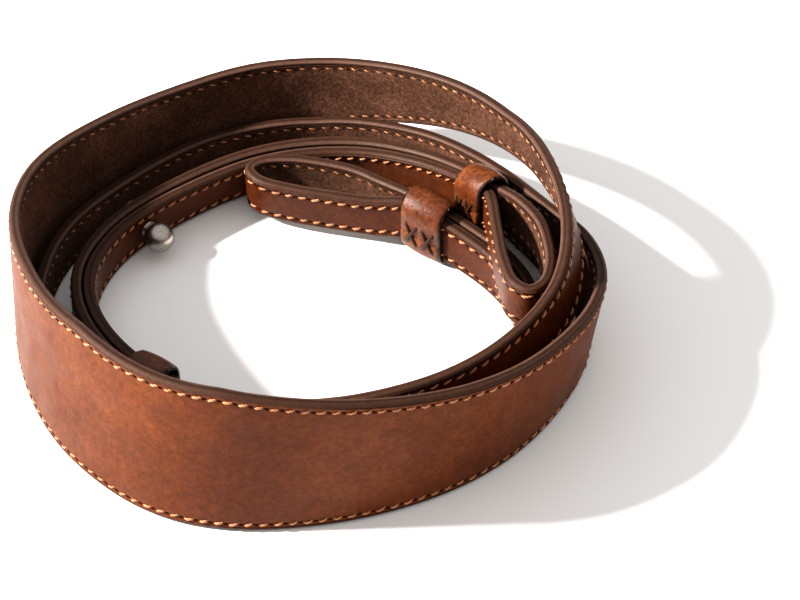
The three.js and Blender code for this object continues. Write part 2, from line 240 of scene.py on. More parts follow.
# Camera, floor and light
CAMERA_ELEVATION = 43.0
CAMERA_DISTANCE = 647.0
LENS = 148.5
SENSOR = 36.0
FLOOR_SIZE = 4000.0
FLOOR_DROP = 0.2
FLOOR_COLOUR = (0.95, 0.94, 0.93)
FLOOR_ROUGHNESS = 0.8
WORLD_COLOUR = (1, 0.99, 0.98, 1)
WORLD_STRENGTH = 0.74
KEY_AZIMUTH = 184.0
KEY_ELEVATION = 35.0
KEY_DISTANCE = 1200.0
KEY_SIZE = 120.0
KEY_POWER = 54.0
KEY_COLOUR = (1, 0.97, 0.93)

# Width of the strip at distances from its middle.
WIDTHS = [(0, WIDE), (16, WIDE), (60, 27.2), (192, NARROW)]

# Route of each half from the middle of the strip to its fold: x, y, lift of the lower edge, lean.
MIDDLE = (-46.6, -55.3, 0, 2)
HALF_A = [
    (-32.2, -60.6, 0, 0),
    (-10.0, -59.3, 0, -2),
    (8.9, -52.4, 0, -4),
    (22.5, -42.4, 0, -7),
    (33.4, -26.6, 0, -9),
    (36.8, -14.2, 0, -8),
    (35.2, -2.4, 0, -3),
    (29.4, 7.4, 0, 0),
    (16.4, 25.6, 0, 0),
    (3.0, 37.0, 0, 0),
    (-16.0, 43.3, 0, 0),
    (-37.0, 38.7, 0, 0),
    (-54.6, 25.0, 0, 0),
    (-66.2, 9.5, 0, 0),
    (-69.3, -10.0, 0, 0),
    (-62.0, -30.5, 1.7, 0),
    (-51.5, -45.3, 2, 0),
    (-35.0, -53.0, 0.6, 0),
    (-14.0, -51.2, 0, 0),
    (6.0, -39.5, 0, 0),
    (20.5, -27.5, 0, 0),
    (26.2, -12.5, 0, 0),
    (22.4, 0.6, 0, 0),
    (13.8, 9.8, 1.1, 0),
    (2.6, 17.4, 2.8, 0),
]
HALF_B = [
    (-60.9, -41.1, 0, 3.5),
    (-69.4, -24.4, 0, 3.5),
    (-73.4, -4.0, 0, 1),
    (-70.4, 12.8, 0, 0),
    (-59.6, 27.8, 0, -1),
    (-42.6, 41.4, 0.8, -3),
    (-28.6, 46.9, 3.2, -5),
    (-13.0, 48.0, 5.7, -5),
    (2.0, 42.6, 10.1, -4),
    (14.0, 33.8, 14.5, 0),
    (23.8, 21.6, 17.8, 5),
    (29.6, 7.5, 19.4, 10),
    (32.7, -8.0, 18.3, 18),
    (30.4, -22.0, 15.6, 18),
    (21.6, -35.0, 14.2, 14),
    (9.0, -44.2, 13.1, 8),
    (-8.0, -49.6, 12.4, 0),
    (-24.0, -47.2, 8.7, 0),
    (-39.0, -39.8, 4, 0),
    (-51.5, -29.6, 1.8, 0),
    (-60.3, -16.0, 1.4, 0),
    (-62.4, -1.0, 0.2, 0),
    (-57.0, 12.5, 0.3, 4),
    (-44.6, 24.7, 0.6, 10),
    (-27.8, 34.7, 0.8, 14),
    (-10.0, 36.8, 1.2, 14),
    (4.0, 31.2, 2.6, 8),
    (14.0, 21.6, 5.4, 2),
    (19.3, 13.2, 8.4, 0),
]
# End loop: forward of the fold, outward from the tail, share of the loop's rise.
LOOP_ROWS = [
    (5.5, 5.6, 0.7),
    (12, 8.2, 0.9),
    (18, 8.9, 1),
    (25, 8.5, 1),
    (30.2, 6.4, 1),
    (31.6, 3.6, 1),
    (29.2, 1, 1),
    (23, -0.1, 1),
    (14.5, -0.2, 1),
    (6.5, 0, 0.9),
]
LOOPS = {
    "a": {"turn": 19, "lean": 6, "rise": -0.8, "stretch": 1.04},
    "b": {"turn": -24, "lean": 0, "rise": 2.8, "stretch": 1},
}


def unit(vectors):
    return vectors / np.linalg.norm(vectors, axis=-1, keepdims=True)


def catmull(points, per_row):
    """Centripetal spline through points, with the same number of samples between each two."""
    points = np.asarray(points, float)
    padded = np.vstack((2 * points[0] - points[1], points, 2 * points[-1] - points[-2]))
    gaps = np.maximum(np.linalg.norm(np.diff(padded, axis=0), axis=1) ** 0.5, SHORTEST_GAP)
    samples = []
    for i in range(len(points) - 1):
        before, start, end, after = padded[i:i + 4]
        g0, g1, g2 = gaps[i:i + 3]
        slope_in = (start - before) / g0 - (end - before) / (g0 + g1) + (end - start) / g1
        slope_out = (end - start) / g1 - (after - start) / (g1 + g2) + (after - end) / g2
        slope_in, slope_out = slope_in * g1, slope_out * g1
        t = np.arange(per_row)[:, None] / per_row
        square = -3 * start + 3 * end - 2 * slope_in - slope_out
        cube = 2 * start - 2 * end + slope_in + slope_out
        samples.append(start + slope_in * t + square * t ** 2 + cube * t ** 3)
    samples.append(points[-1:])
    return np.vstack(samples)


def run_along(places):
    return np.concatenate(([0], np.cumsum(np.linalg.norm(np.diff(places, axis=0), axis=1))))


def resample(runs, values, at):
    return np.stack([np.interp(at, runs, values[:, k]) for k in range(values.shape[1])], axis=1)


def smooth(values, spread):
    """Gaussian average over neighbouring rows, with both ends held."""
    reach = int(3 * spread)
    weights = np.exp(-0.5 * (np.arange(-reach, reach + 1) / spread) ** 2)
    weights /= weights.sum()
    start = 2 * values[0] - values[reach:0:-1]
    end = 2 * values[-1] - values[-2:-reach - 2:-1]
    padded = np.vstack((start, values, end))
    return np.stack([np.convolve(padded[:, k], weights, "valid") for k in range(values.shape[1])], axis=1)


class Strip:
    """Sections of the strip: middle, way across the width, way the suede faces, width."""

    def __init__(self, centre, across, suede, width):
        self.centre = np.asarray(centre, float)
        self.across = np.asarray(across, float)
        self.suede = np.asarray(suede, float)
        self.width = np.asarray(width, float)

    def turned(self):
        return Strip(self.centre[::-1], self.across[::-1], self.suede[::-1], self.width[::-1])


def join(strips):
    keys = ("centre", "across", "suede", "width")
    return Strip(*(np.concatenate([getattr(one, key) for one in strips]) for key in keys))


rows = np.array([*HALF_A[::-1], MIDDLE, *HALF_B], float)
course = catmull(rows[:, :3], SAMPLES_PER_ROW)
course[:, 2] = np.maximum(course[:, 2], 0)
row_of_sample = np.arange(len(course)) / SAMPLES_PER_ROW
course_lean = np.interp(row_of_sample, np.arange(len(rows)), rows[:, 3])
course_run = run_along(course)
middle_run = course_run[SAMPLES_PER_ROW * len(HALF_A)]
main_length = course_run[-1]

fine_count = int(main_length)
fine_run = np.linspace(0, main_length, fine_count + 1)
fine_place = resample(course_run, course, fine_run)
fine_lean = np.interp(fine_run, course_run, course_lean)
fine_course = smooth(np.column_stack((fine_place, fine_lean)), SMOOTHING)
fine_heading = np.gradient(fine_course[:, :3], axis=0)
fine_heading[:, 2] = 0
fine_heading = unit(fine_heading)


def main_strip(runs):
    """Sections of the main strap at the given distances from fold A."""
    runs = np.asarray(runs, float)
    place = resample(fine_run, fine_course, runs)
    heading = unit(resample(fine_run, fine_heading, runs))
    angle = np.radians(place[:, 3])[:, None]
    right = unit(np.cross(heading, UP))
    width = np.interp(np.abs(runs - middle_run), *zip(*WIDTHS))
    across = UP * np.cos(angle) + right * np.sin(angle)
    suede = right * np.cos(angle) - UP * np.sin(angle)
    centre = place[:, :3].copy()
    centre[:, 2] += width / 2 * np.cos(angle[:, 0]) + THICKNESS / 2 * np.abs(np.sin(angle[:, 0]))
    return Strip(centre, across, suede, width)


def from_fold(end, distances):
    distances = np.asarray(distances, float)
    return main_strip(distances if end == "a" else main_length - distances)


def tail_strip(end):
    """The tail on the suede side of the strap, from its fold to its rounded tip."""
    body = TAIL_LENGTH - TAIL_TIP_RADIUS
    turn = np.linspace(0, math.pi / 2, TAIL_TIP_STEPS + 1)[1:]
    body_distances = np.linspace(0, body, round(body / STATION_STEP))
    distances = np.concatenate((body_distances, body + TAIL_TIP_RADIUS * np.sin(turn)))
    strap = from_fold(end, distances)
    back = np.maximum(TAIL_TIP_RADIUS - (TAIL_LENGTH - distances), 0)
    width = 2 * np.sqrt(np.maximum(TAIL_TIP_RADIUS ** 2 - back ** 2, 0)) * NARROW / (2 * TAIL_TIP_RADIUS)
    width = np.maximum(width, TAIL_TIP_WIDTH)
    return Strip(strap.centre + strap.suede * FOLD_PITCH, strap.across, -strap.suede, width)


def turn_about_up(vector, degrees):
    cosine = math.cos(math.radians(degrees))
    sine = math.sin(math.radians(degrees))
    x, y, z = vector
    return np.array((x * cosine - y * sine, x * sine + y * cosine, z))


def loop_strip(end, tail):
    """The end loop from the strap's side of the fold to the tail's."""
    strap = from_fold(end, [0, LOOP_STEP])
    away = unit(strap.centre[0] - strap.centre[1])
    away[2] = 0
    away = unit(away)
    turn, rise, stretch = (LOOPS[end][key] for key in ("turn", "rise", "stretch"))
    forward = turn_about_up(away, turn)
    outward = turn_about_up(-strap.suede[0], turn)
    places = [tail.centre[0] + forward * f * stretch + outward * o + UP * r * rise for f, o, r in LOOP_ROWS]
    lead_out = np.interp(LOOP_STEP, run_along(tail.centre), np.arange(len(tail.centre)))
    guides = [strap.centre[1], strap.centre[0], *places, tail.centre[0], tail.centre[int(round(lead_out))]]
    curve = catmull(guides, SAMPLES_PER_ROW)[SAMPLES_PER_ROW:-SAMPLES_PER_ROW]
    runs = run_along(curve)
    count = int(runs[-1] / LOOP_FINE_STEP)
    at = np.linspace(0, runs[-1], count + 1)[1:-1]
    heading = np.gradient(curve, axis=0)
    heading[:, 2] = 0
    heading = unit(resample(runs, unit(heading), at)) * (-1 if end == "a" else 1)
    centre = resample(runs, curve, at)
    share = at / runs[-1]
    ease = np.minimum(1, LOOP_LEAN_EASE * np.minimum(share, 1 - share))
    aside = outward - heading * (heading @ outward)[:, None]
    slope = math.tan(math.radians(LOOPS[end]["lean"])) * ease
    across = unit(UP - aside * slope[:, None])
    suede = unit(np.cross(heading, across))
    return Strip(centre, across, suede, np.full(len(at), NARROW))


tails = {end: tail_strip(end) for end in "ab"}
loops = {end: loop_strip(end, tails[end]) for end in "ab"}
main = main_strip(np.linspace(0, main_length, round(main_length / STATION_STEP) + 1))
strip = join([tails["a"].turned(), loops["a"].turned(), main, loops["b"], tails["b"]])
strip.centre -= COIL_CENTRE
strip_run = run_along(strip.centre)
first_main = len(tails["a"].centre) + len(loops["a"].centre)
main_start = strip_run[first_main]
main_end = strip_run[first_main + len(main.centre) - 1]
tail_a_end = strip_run[len(tails["a"].centre) - 1]
tail_b_start = strip_run[-len(tails["b"].centre)]


def at_run(runs):
    """Sections of the whole strip at the given distances from the tip of tail A."""
    runs = np.asarray(runs, float)
    return Strip(
        resample(strip_run, strip.centre, runs),
        unit(resample(strip_run, strip.across, runs)),
        unit(resample(strip_run, strip.suede, runs)),
        np.interp(runs, strip_run, strip.width),
    )


def make_object(name, vertices, faces, material, uvs=None):
    mesh = bpy.data.meshes.new(name)
    mesh.from_pydata([tuple(v) for v in np.asarray(vertices) * MM], [], faces)
    if uvs is not None:
        layer = mesh.uv_layers.new(name="strip")
        corner_vertices = np.zeros(len(mesh.loops), np.int32)
        mesh.loops.foreach_get("vertex_index", corner_vertices)
        layer.data.foreach_set("uv", (np.asarray(uvs)[corner_vertices] * MM).ravel().astype(np.float32))
    mesh.polygons.foreach_set("use_smooth", [True] * len(mesh.polygons))
    mesh.update()
    mesh.validate()
    piece = bpy.data.objects.new(name, mesh)
    bpy.context.scene.collection.objects.link(piece)
    piece.data.materials.append(material)
    return piece


def loft(rings, closed_run=False):
    """Quads through rings with the same number of points; an open run is capped at both ends."""
    count, size = rings.shape[:2]
    faces = []
    for i in range(count if closed_run else count - 1):
        here, there = i * size, (i + 1) % count * size
        for j in range(size):
            k = (j + 1) % size
            faces.append((here + j, here + k, there + k, there + j))
    if not closed_run:
        faces.append(tuple(range(size - 1, -1, -1)))
        faces.append(tuple(range((count - 1) * size, count * size)))
    return rings.reshape(-1, 3), faces


def edge_outline():
    """Painted edge as distance in from the edge and depth towards the suede, suede side first."""
    points = []
    for k in range(EDGE_STEPS + 1):
        angle = math.pi / 2 - math.pi * k / EDGE_STEPS
        rise = math.sin(angle)
        if k == EDGE_STEPS // 2:
            points += [(0.0, EDGE_LINE_HALF), (EDGE_LINE_DEPTH, 0.0), (0.0, -EDGE_LINE_HALF)]
        else:
            limit = LIP_WIDTH if rise > 0 else EDGE_ROUND
            depth = THICKNESS / 2 * math.copysign(abs(rise) ** EDGE_POWER, rise)
            points.append((limit * (1 - max(math.cos(angle), 0) ** EDGE_POWER), depth))
    return points


def ring_points(sections, across, depth):
    """One ring for each section, at offsets across the width and towards the suede."""
    return (sections.centre[:, None, :] + sections.across[:, None, :] * across[..., None]
            + sections.suede[:, None, :] * depth[..., None])


def face_rings(sections):
    """Rings of the face layer with its painted edges, and their distance in from the edge."""
    half = sections.width / 2
    level = np.ones_like(half)
    scale = np.minimum(1, half / (GROOVE_REACH + GROOVE_MARGIN))
    recess = THICKNESS / 2 - LINING_DEPTH - RECESS_GAP
    lip = [(LIP_WIDTH + RECESS_DRAFT, recess, -THICKNESS)]
    for inset, depth in edge_outline():
        lip.append((inset, depth, math.copysign(inset, -depth) if depth else 0.0))
    lip += [(inset, FACE_LEVEL + sink, inset) for inset, sink in GROOVE_ROWS]
    inner = half - GROOVE_ROWS[-1][0] * scale
    columns = [(inset * scale - half, depth * level, along * level) for inset, depth, along in lip]
    for share in MIDDLE_SHARES:
        columns.append((share * inner, FACE_LEVEL * level, half - abs(share) * inner))
    for inset, depth, along in reversed(lip):
        columns.append((half - inset * scale, depth * level, along * level))
    across, depth, along = (np.stack(values, axis=1) for values in zip(*columns))
    return ring_points(sections, across, depth), along


def lining_rings(sections):
    """Rings of the lining in the face layer's recess, and their distance in from the edge."""
    half = sections.width / 2 - LIP_WIDTH * np.minimum(1, sections.width / NARROW) - LINING_SIDE_GAP
    half = np.maximum(half, LINING_LEAST_HALF)
    level = np.ones_like(half)
    scale = np.minimum(1, half / GROOVE_REACH)
    top = THICKNESS / 2
    side = [
        (0, top - LINING_DEPTH),
        (0, top - LINING_ROUND),
        (LINING_ROUND_MIDDLE, top - LINING_ROUND_MIDDLE),
        (LINING_ROUND, top),
    ]
    side += [(inset - LIP_WIDTH, top - sink) for inset, sink in GROOVE_ROWS]
    inner = half - side[-1][0] * scale
    columns = [(inset * scale - half, depth * level) for inset, depth in side]
    columns += [(share * inner, top * level) for share in MIDDLE_SHARES]
    columns += [(half - inset * scale, depth * level) for inset, depth in reversed(side)]
    across, depth = (np.stack(values, axis=1) for values in zip(*columns))
    return ring_points(sections, across, depth), sections.width[:, None] / 2 - np.abs(across)


def strip_uvs(along):
    runs = np.repeat(strip_run[:, None], along.shape[1], axis=1)
    return np.stack((runs, along), axis=-1).reshape(-1, 2)


# Materials


class Nodes:
    """Short helper for building one node material."""

    # Colour sockets of a mix node: factor, first, second, and the result.
    MIX_INPUTS = (0, 6, 7)
    MIX_RESULT = 2

    def __init__(self, name):
        self.material = bpy.data.materials.new(name)
        self.material.use_nodes = True
        self.tree = self.material.node_tree
        self.shader = self.tree.nodes["Principled BSDF"]

    def add(self, kind, **settings):
        node = self.tree.nodes.new(kind)
        for key, value in settings.items():
            setattr(node, key, value)
        return node

    def link(self, source, target):
        self.tree.links.new(source, target)

    def feed(self, socket, value):
        """Set a socket to a number or a colour, or link another node's output to it."""
        if isinstance(value, (int, float)):
            socket.default_value = value
        elif isinstance(value, tuple):
            socket.default_value = (*value, 1)
        else:
            self.link(value, socket)

    def surface(self, **values):
        for key, value in values.items():
            self.feed(self.shader.inputs[key.replace("_", " ")], value)

    def coordinates(self):
        return self.add("ShaderNodeTexCoord").outputs["Object"]

    def noise(self, scale, detail=4.0, roughness=0.55):
        node = self.add("ShaderNodeTexNoise")
        node.inputs["Scale"].default_value = scale
        node.inputs["Detail"].default_value = detail
        node.inputs["Roughness"].default_value = roughness
        self.link(self.coordinates(), node.inputs["Vector"])
        return node.outputs["Fac"]

    def cells(self, scale):
        """Distance to the nearest edge between cells."""
        node = self.add("ShaderNodeTexVoronoi", feature="DISTANCE_TO_EDGE")
        node.inputs["Scale"].default_value = scale
        self.link(self.coordinates(), node.inputs["Vector"])
        return node.outputs["Distance"]

    def twist(self, scale, distortion):
        """Slanting bands, as on twisted thread."""
        node = self.add("ShaderNodeTexWave", wave_type="BANDS", bands_direction="DIAGONAL")
        node.inputs["Scale"].default_value = scale
        node.inputs["Distortion"].default_value = distortion
        self.link(self.coordinates(), node.inputs["Vector"])
        return node.outputs["Fac"]

    def ramp(self, source, stops):
        node = self.add("ShaderNodeValToRGB")
        elements = node.color_ramp.elements
        while len(elements) < len(stops):
            elements.new(0.5)
        for element, (place, colour) in zip(elements, stops):
            element.position = place
            element.color = (*colour, 1)
        self.link(source, node.inputs["Fac"])
        return node.outputs["Color"]

    def mix(self, factor, first, second, blend="MIX"):
        node = self.add("ShaderNodeMix", data_type="RGBA", blend_type=blend)
        for index, value in zip(self.MIX_INPUTS, (factor, first, second)):
            self.feed(node.inputs[index], value)
        return node.outputs[self.MIX_RESULT]

    def math(self, operation, first, second=0.0):
        node = self.add("ShaderNodeMath", operation=operation)
        self.feed(node.inputs[0], first)
        self.feed(node.inputs[1], second)
        return node.outputs[0]

    def between(self, source, low, high, to_low=0.0, to_high=1.0):
        node = self.add("ShaderNodeMapRange")
        for key, value in (("From Min", low), ("From Max", high), ("To Min", to_low), ("To Max", to_high)):
            node.inputs[key].default_value = value
        self.link(source, node.inputs["Value"])
        return node.outputs["Result"]

    def bump(self, height, strength, distance):
        node = self.add("ShaderNodeBump")
        node.inputs["Strength"].default_value = strength
        node.inputs["Distance"].default_value = distance * MM
        self.link(height, node.inputs["Height"])
        self.link(node.outputs["Normal"], self.shader.inputs["Normal"])

    def strip_place(self):
        """Run along the strip and distance in from its edge, in millimetres."""
        node = self.add("ShaderNodeUVMap", uv_map="strip")
        split = self.add("ShaderNodeSeparateXYZ")
        self.link(node.outputs["UV"], split.inputs["Vector"])
        return [self.math("MULTIPLY", split.outputs[axis], 1 / MM) for axis in "XY"]


def needle_holes(nodes, run, inset):
    """1 in the needle holes of the stitch rows, 0 elsewhere."""
    off_hole = nodes.math("PINGPONG", run, STITCH_PITCH / 2)
    off_row = nodes.math("ABSOLUTE", nodes.math("SUBTRACT", inset, ROW_INSET))
    along = nodes.math("POWER", nodes.math("MULTIPLY", off_hole, 1 / HOLE_HALF_LENGTH), 2.0)
    aside = nodes.math("POWER", nodes.math("MULTIPLY", off_row, 1 / HOLE_HALF_WIDTH), 2.0)
    return nodes.between(nodes.math("ADD", along, aside), *HOLE_SPAN)


def face_colour(nodes, narrow, fine):
    """Mottled brown, darker where the strap is narrow: partly the narrow leather's own darker tone, partly
    painted shade for the inside of the coil.
    """
    mottle = nodes.noise(scale=170, detail=6, roughness=0.7)
    cloud = nodes.noise(scale=26, detail=3, roughness=0.5)
    tone = nodes.mix(0.5, mottle, cloud)
    colour = nodes.mix(narrow, nodes.ramp(tone, WIDE_TONES), nodes.ramp(tone, NARROW_TONES_WITH_SHADE))
    speckle = nodes.between(fine, *NOISE_SPAN, to_low=0.68, to_high=1.3)
    return nodes.mix(1.0, colour, speckle, "MULTIPLY")


def paint_colour(nodes, inset, fine):
    """Edge paint with a painted highlight on its suede-side half and painted shade in the groove between
    the layers.
    """
    # Painted highlight along the suede-side half of the edge.
    off_highlight = nodes.math("ABSOLUTE", nodes.math("ADD", inset, PAINT_HIGHLIGHT_PLACE))
    highlight = nodes.between(off_highlight, *PAINT_HIGHLIGHT_SPAN)
    # Painted shade along the groove between the layers.
    groove_shade = nodes.between(nodes.math("ABSOLUTE", inset), *PAINT_GROOVE_SHADE_SPAN)
    colour = nodes.mix(nodes.math("MULTIPLY", highlight, PAINT_HIGHLIGHT_SHARE), PAINT_COLOUR, PAINT_HIGHLIGHT_COLOUR)
    colour = nodes.mix(nodes.math("MULTIPLY", groove_shade, PAINT_GROOVE_SHADE_SHARE), colour, PAINT_GROOVE_SHADE_COLOUR)
    speckle = nodes.between(fine, 0.25, 0.75, to_low=0.75, to_high=1.2)
    return nodes.mix(1.0, colour, speckle, "MULTIPLY")


def leather_material():
    nodes = Nodes("strap_leather")
    run, inset = nodes.strip_place()
    narrow = nodes.add("ShaderNodeAttribute", attribute_name="narrow").outputs["Fac"]
    fine = nodes.noise(scale=900, detail=4, roughness=0.7)
    holes = needle_holes(nodes, run, inset)
    wobble = nodes.noise(scale=900, detail=2)
    wobble = nodes.between(wobble, 0.0, 1.0, to_low=-PAINT_WOBBLE, to_high=PAINT_WOBBLE)
    paint = nodes.between(nodes.math("ADD", inset, wobble), *PAINT_SPAN)
    # Painted shade in the needle holes.
    face = nodes.mix(holes, face_colour(nodes, narrow, fine), HOLE_SHADE_COLOUR)
    rough = nodes.between(nodes.noise(scale=160, detail=3), *NOISE_SPAN, to_low=0.44, to_high=0.58)
    rough = nodes.math("SUBTRACT", rough, nodes.math("MULTIPLY", narrow, NARROW_SMOOTHER))
    nodes.surface(
        Base_Color=nodes.mix(paint, face, paint_colour(nodes, inset, fine)),
        Roughness=nodes.math("ADD", rough, nodes.math("MULTIPLY", paint, PAINT_ROUGHER)),
        Specular_IOR_Level=nodes.between(holes, 0.0, 1.0, to_low=FACE_SPECULAR, to_high=0.0),
    )
    cells = nodes.math("MULTIPLY", nodes.between(nodes.cells(scale=1500), *CELL_SPAN), CELL_BUMP)
    height = nodes.math("ADD", cells, nodes.math("MULTIPLY", fine, FINE_BUMP))
    height = nodes.math("SUBTRACT", height, nodes.math("MULTIPLY", holes, HOLE_BUMP))
    nodes.bump(height, strength=0.5, distance=0.12)
    return nodes.material


def suede_material():
    nodes = Nodes("strap_suede")
    run, inset = nodes.strip_place()
    nap = nodes.noise(scale=1500, detail=4, roughness=0.7)
    patch = nodes.noise(scale=90, detail=5, roughness=0.65)
    colour = nodes.ramp(nodes.mix(0.4, nap, patch), SUEDE_TONES)
    # Painted shade in the needle holes of the suede.
    holes = nodes.math("MULTIPLY", needle_holes(nodes, run, inset), SUEDE_HOLE_SHARE)
    nodes.surface(
        Base_Color=nodes.mix(holes, colour, SUEDE_HOLE_SHADE_COLOUR),
        Roughness=0.95,
        Specular_IOR_Level=0.1,
        Sheen_Weight=0.04,
        Sheen_Roughness=0.5,
        Sheen_Tint=SHEEN_TINT,
    )
    nodes.bump(nap, strength=0.8, distance=0.3)
    return nodes.material


def thread_material(name, tones, roughness, specular):
    nodes = Nodes(name)
    twist = nodes.twist(scale=900, distortion=1.5)
    tone = nodes.mix(0.5, twist, nodes.noise(scale=120, detail=3))
    nodes.surface(Base_Color=nodes.ramp(tone, tones), Roughness=roughness, Specular_IOR_Level=specular)
    nodes.bump(twist, strength=0.5, distance=0.1)
    return nodes.material


def keeper_material():
    nodes = Nodes("keeper_leather")
    place, inset = nodes.strip_place()
    fine = nodes.noise(scale=1100, detail=5, roughness=0.7)
    mottle = nodes.noise(scale=220, detail=4, roughness=0.6)
    colour = nodes.ramp(nodes.mix(0.65, mottle, fine), KEEPER_TONES)
    off_middle = nodes.math("ABSOLUTE", nodes.math("SUBTRACT", place, KEEPER_LENGTH / 2))
    from_rim = nodes.math("SUBTRACT", KEEPER_LENGTH / 2, off_middle)
    # Rim colour at both ends is the edge paint; inset 0 on the inside puts the whole inside under it too,
    # as painted shade.
    rim = nodes.between(nodes.math("MINIMUM", from_rim, inset), *KEEPER_RIM_SPAN)
    nodes.surface(
        Base_Color=nodes.mix(rim, colour, KEEPER_RIM_PAINT_AND_INSIDE_SHADE_COLOUR),
        Roughness=nodes.between(mottle, *NOISE_SPAN, to_low=0.34, to_high=0.5),
        Specular_IOR_Level=0.3,
    )
    nodes.bump(fine, strength=0.6, distance=0.25)
    return nodes.material


def metal_material():
    nodes = Nodes("stud_steel")
    brush = nodes.noise(scale=2600, detail=3, roughness=0.6)
    nodes.surface(
        Base_Color=nodes.ramp(brush, METAL_TONES),
        Roughness=nodes.between(brush, *NOISE_SPAN, to_low=0.26, to_high=0.38),
        Metallic=1.0,
    )
    nodes.bump(brush, strength=0.1, distance=0.05)
    return nodes.material


leather = leather_material()
suede = suede_material()
thread = thread_material("stitch_thread", THREAD_TONES, roughness=0.5, specular=0.3)
dark_thread = thread_material("seam_thread", SEAM_THREAD_TONES, roughness=0.45, specular=0.15)
keeper_leather = keeper_material()
metal = metal_material()


def add_piece(piece, slot, *nodes):
    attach(piece, "root")
    if nodes:
        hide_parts(*nodes)


# Strap

rings, along = face_rings(strip)
vertices, faces = loft(rings)
outer = make_object("strap_outer", vertices, faces, leather, strip_uvs(along))
narrowness = np.clip((NARROW_FROM - strip.width) / (NARROW_FROM - NARROW), 0, 1)
layer = outer.data.attributes.new("narrow", "FLOAT", "POINT")
layer.data.foreach_set("value", np.repeat(narrowness, along.shape[1]).astype(np.float32))
add_piece(outer, "strap_leather", "strap_face")

rings, along = lining_rings(strip)
vertices, faces = loft(rings)
faces = [face[::-1] for face in faces]
inner = make_object("strap_inner", vertices, faces, suede, strip_uvs(along))
add_piece(inner, "strap_suede", "strap_lining")


# Stitches


def stitch_row(side, depth_way, runs):
    """One short bent thread between each two needle holes, as rings."""
    luck = random.Random(STITCH_SEED + 10 * side + depth_way)
    pieces = []
    angles = np.linspace(0, 2 * math.pi, THREAD_SIDES, endpoint=False)
    t = np.linspace(0, 1, THREAD_RINGS)
    arch = np.sin(math.pi * (THREAD_ARCH_START + (1 - 2 * THREAD_ARCH_START) * t)) ** THREAD_ARCH_POWER
    swell = THREAD_END_SIZE + (1 - THREAD_END_SIZE) * np.sin(math.pi * t) ** 0.5
    for start in runs:
        hole = THREAD_HOLE[depth_way] + luck.uniform(-HOLE_JITTER, HOLE_JITTER)
        slant = THREAD_SLANT + luck.uniform(-SLANT_JITTER, SLANT_JITTER)
        lift = THREAD_RISE[depth_way] + luck.uniform(-RISE_JITTER, RISE_JITTER)
        drift = luck.uniform(-DRIFT_JITTER, DRIFT_JITTER)
        at = at_run(start + hole + (STITCH_PITCH - 2 * hole) * t)
        level = THICKNESS / 2 - GROOVE_DEPTH + lift * arch - THREAD_SINK * (1 - arch)
        aside = side * (at.width / 2 - ROW_INSET - drift) - slant * (2 * t - 1)
        spine = at.centre + at.across * aside[:, None] + at.suede * (depth_way * level)[:, None]
        wide = at.across[:, None, :] * (np.cos(angles) * THREAD_HALF_WIDTH[depth_way])[None, :, None]
        high = at.suede[:, None, :] * (np.sin(angles) * THREAD_HALF_HEIGHT[depth_way])[None, :, None]
        pieces.append(spine[:, None, :] + (wide + high) * swell[:, None, None])
    return pieces


def merge_lofts(lofts):
    all_vertices = []
    all_faces = []
    base = 0
    for rings in lofts:
        vertices, faces = loft(rings)
        all_vertices.append(vertices)
        all_faces.extend(tuple(base + i for i in face) for face in faces)
        base += len(vertices)
    return np.vstack(all_vertices), all_faces


def suede_open(run):
    """True where the suede is not folded against itself."""
    folded = TAIL_LENGTH + STITCH_FOLD_CLEAR
    in_loop = tail_a_end < run < main_start or main_end < run < tail_b_start
    return in_loop or main_start + folded < run < main_end - folded


first_hole = math.ceil(STITCH_TIP_CLEAR / STITCH_PITCH)
last_hole = int((strip_run[-1] - STITCH_TIP_CLEAR) / STITCH_PITCH)
hole_runs = np.arange(first_hole, last_hole) * STITCH_PITCH
open_runs = [run for run in hole_runs if suede_open(run)]
for name, way, runs, slot in (
    ("stitches_outer", -1, hole_runs, "strap_leather"),
    ("stitches_inner", 1, open_runs, "strap_suede"),
):
    vertices, faces = merge_lofts([ring for side in (-1, 1) for ring in stitch_row(side, way, runs)])
    add_piece(make_object(name, vertices, faces, thread), slot)


# Keepers


def keeper_section(grow, corner, groove):
    """Rounded box as across, depth pairs; the seam groove is in the side towards the coil's middle."""
    half_width = (NARROW + KEEPER_LOWER_GAP + KEEPER_UPPER_GAP) / 2 + grow
    half_depth = STACK_DEPTH / 2 + KEEPER_SIDE_GAP + grow
    points = []
    for quarter in range(4):
        across_way = 1 if quarter in (0, 3) else -1
        depth_way = 1 if quarter < 2 else -1
        for i in range(KEEPER_CORNER_STEPS):
            angle = math.pi / 2 * (quarter + i / (KEEPER_CORNER_STEPS - 1))
            points.append((across_way * (half_width - corner) + corner * math.cos(angle),
                           depth_way * (half_depth - corner) + corner * math.sin(angle)))
        if quarter == 0:
            for offset, share in SEAM_GROOVE:
                points.append((SEAM_OFFSET + offset, half_depth - share * groove))
    return np.array(points)


def keeper_frames(end, distances):
    """Middle of the folded pair inside a keeper, with the ways across and in depth."""
    strap = from_fold(end, distances)
    centre = strap.centre - COIL_CENTRE + strap.suede * FOLD_PITCH / 2
    centre = centre + strap.across * (KEEPER_UPPER_GAP - KEEPER_LOWER_GAP) / 2
    return centre, strap.across, strap.suede


def keeper_crown(share):
    return KEEPER_WALL - KEEPER_CROWN + KEEPER_CROWN * (1 - (2 * share - 1) ** 2)


